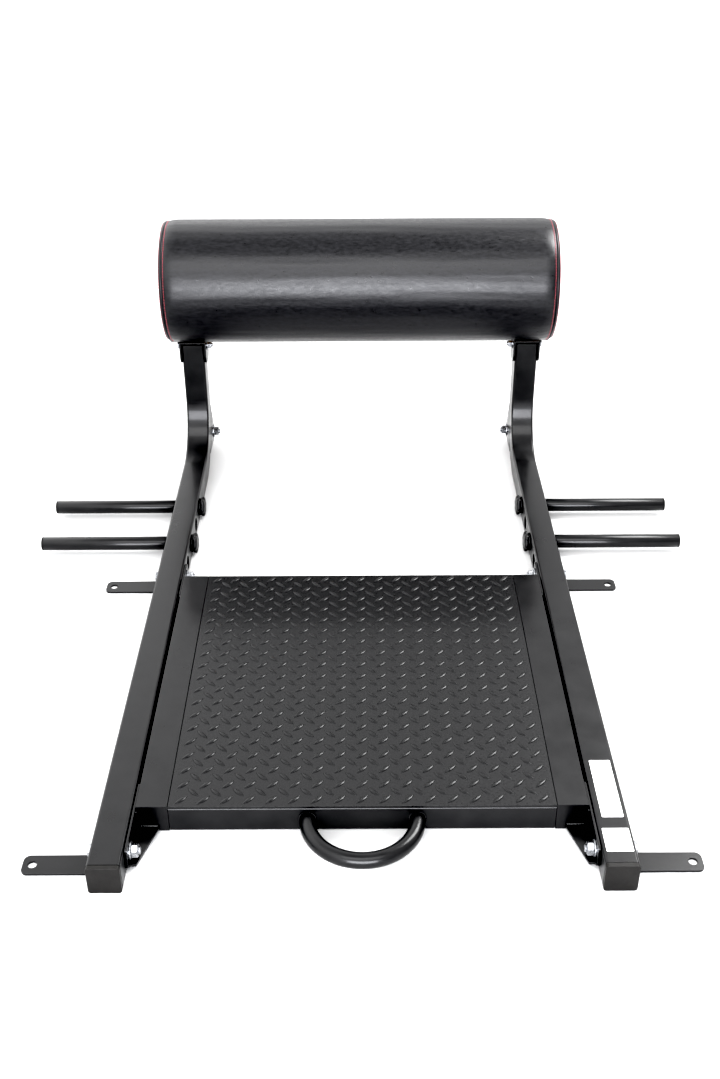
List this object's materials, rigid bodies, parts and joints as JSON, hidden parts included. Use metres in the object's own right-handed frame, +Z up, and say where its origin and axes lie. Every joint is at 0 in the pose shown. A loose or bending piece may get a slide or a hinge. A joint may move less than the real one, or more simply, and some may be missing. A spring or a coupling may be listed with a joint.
{
  "type": "hip thrust bench",
  "caption": "Low bench with two bent square-tube rails, a tread-plate foot deck, a padded roll, band pegs and transport wheels.",
  "frame": {"origin": "on the floor, under the centre of the object's box", "axes": "+X to the right across the bench, +Y from the carry handle towards the padded roll, +Z up"},
  "size_m": [1.327, 1.4943, 0.57],
  "materials": {
    "powder_coat": "satin",
    "tread_coat": "satin",
    "zinc": "satin",
    "plastic": "matte",
    "rubber": "matte",
    "leatherette": "satin",
    "plywood": "matte"
  },
  "bodies": {
    "frame": {"anchor_tab_front_left": "powder_coat", "anchor_tab_front_right": "powder_coat", "anchor_tab_rear_left": "powder_coat", "anchor_tab_rear_right": "powder_coat", "carry_handle": "powder_coat", "deck_flange_front_left": "powder_coat", "deck_flange_front_right": "powder_coat", "deck_flange_rear_left": "powder_coat", "deck_flange_rear_right": "powder_coat", "deck_front_beam": "powder_coat", "deck_front_left_bolt": "zinc", "deck_front_left_nut": "zinc", "deck_front_right_bolt": "zinc", "deck_front_right_nut": "zinc", "deck_rear_beam": "powder_coat", "deck_rear_left_bolt": "zinc", "deck_rear_left_nut": "zinc", "deck_rear_right_bolt": "zinc", "deck_rear_right_nut": "zinc", "deck_rib_1": "powder_coat", "deck_rib_2": "powder_coat", "deck_side_tube_left": "powder_coat", "deck_side_tube_right": "powder_coat", "pad_bracket_left": "powder_coat", "pad_bracket_right": "powder_coat", "pad_left_bolt": "zinc", "pad_left_nut": "zinc", "pad_right_bolt": "zinc", "pad_right_nut": "zinc", "rail_front_cap_left": "plastic", "rail_front_cap_right": "plastic", "rail_left": "powder_coat", "rail_right": "powder_coat", "roll_board": "plywood", "roll_pad": "leatherette", "tread_plate": "tread_coat", "wheel_axle_left_bolt": "zinc", "wheel_axle_left_nut": "zinc", "wheel_axle_right_bolt": "zinc", "wheel_axle_right_nut": "zinc", "wheel_bracket_left": "powder_coat", "wheel_bracket_right": "powder_coat"},
    "peg_front_left": {"peg_bar_front_left": "powder_coat", "peg_knob_front_left": "plastic", "peg_tip_cap_front_left": "plastic"},
    "peg_front_right": {"peg_bar_front_right": "powder_coat", "peg_knob_front_right": "plastic", "peg_tip_cap_front_right": "plastic"},
    "peg_rear_left": {"peg_bar_rear_left": "powder_coat", "peg_knob_rear_left": "plastic", "peg_tip_cap_rear_left": "plastic"},
    "peg_rear_right": {"peg_bar_rear_right": "powder_coat", "peg_knob_rear_right": "plastic", "peg_tip_cap_rear_right": "plastic"},
    "wheel_left_body": {"wheel_left": "rubber"},
    "wheel_right_body": {"wheel_right": "rubber"}
  },
  "joints": [
    {"name": "peg_front_left_slide", "type": "slide", "parent": "frame", "child": "peg_front_left", "axis": [1, 0, 0], "range_m": [0, 0.3]},
    {"name": "peg_front_right_slide", "type": "slide", "parent": "frame", "child": "peg_front_right", "axis": [-1, 0, 0], "range_m": [0, 0.3]},
    {"name": "peg_rear_left_slide", "type": "slide", "parent": "frame", "child": "peg_rear_left", "axis": [1, 0, 0], "range_m": [0, 0.3]},
    {"name": "peg_rear_right_slide", "type": "slide", "parent": "frame", "child": "peg_rear_right", "axis": [-1, 0, 0], "range_m": [0, 0.3]},
    {"name": "wheel_left_spin", "type": "hinge", "parent": "frame", "child": "wheel_left_body", "pos_m": [-0.3765, 0.65115, 0.046], "axis": [1, 0, 0], "continuous": true},
    {"name": "wheel_right_spin", "type": "hinge", "parent": "frame", "child": "wheel_right_body", "pos_m": [0.3765, 0.65115, 0.046], "axis": [1, 0, 0], "continuous": true}
  ]
}
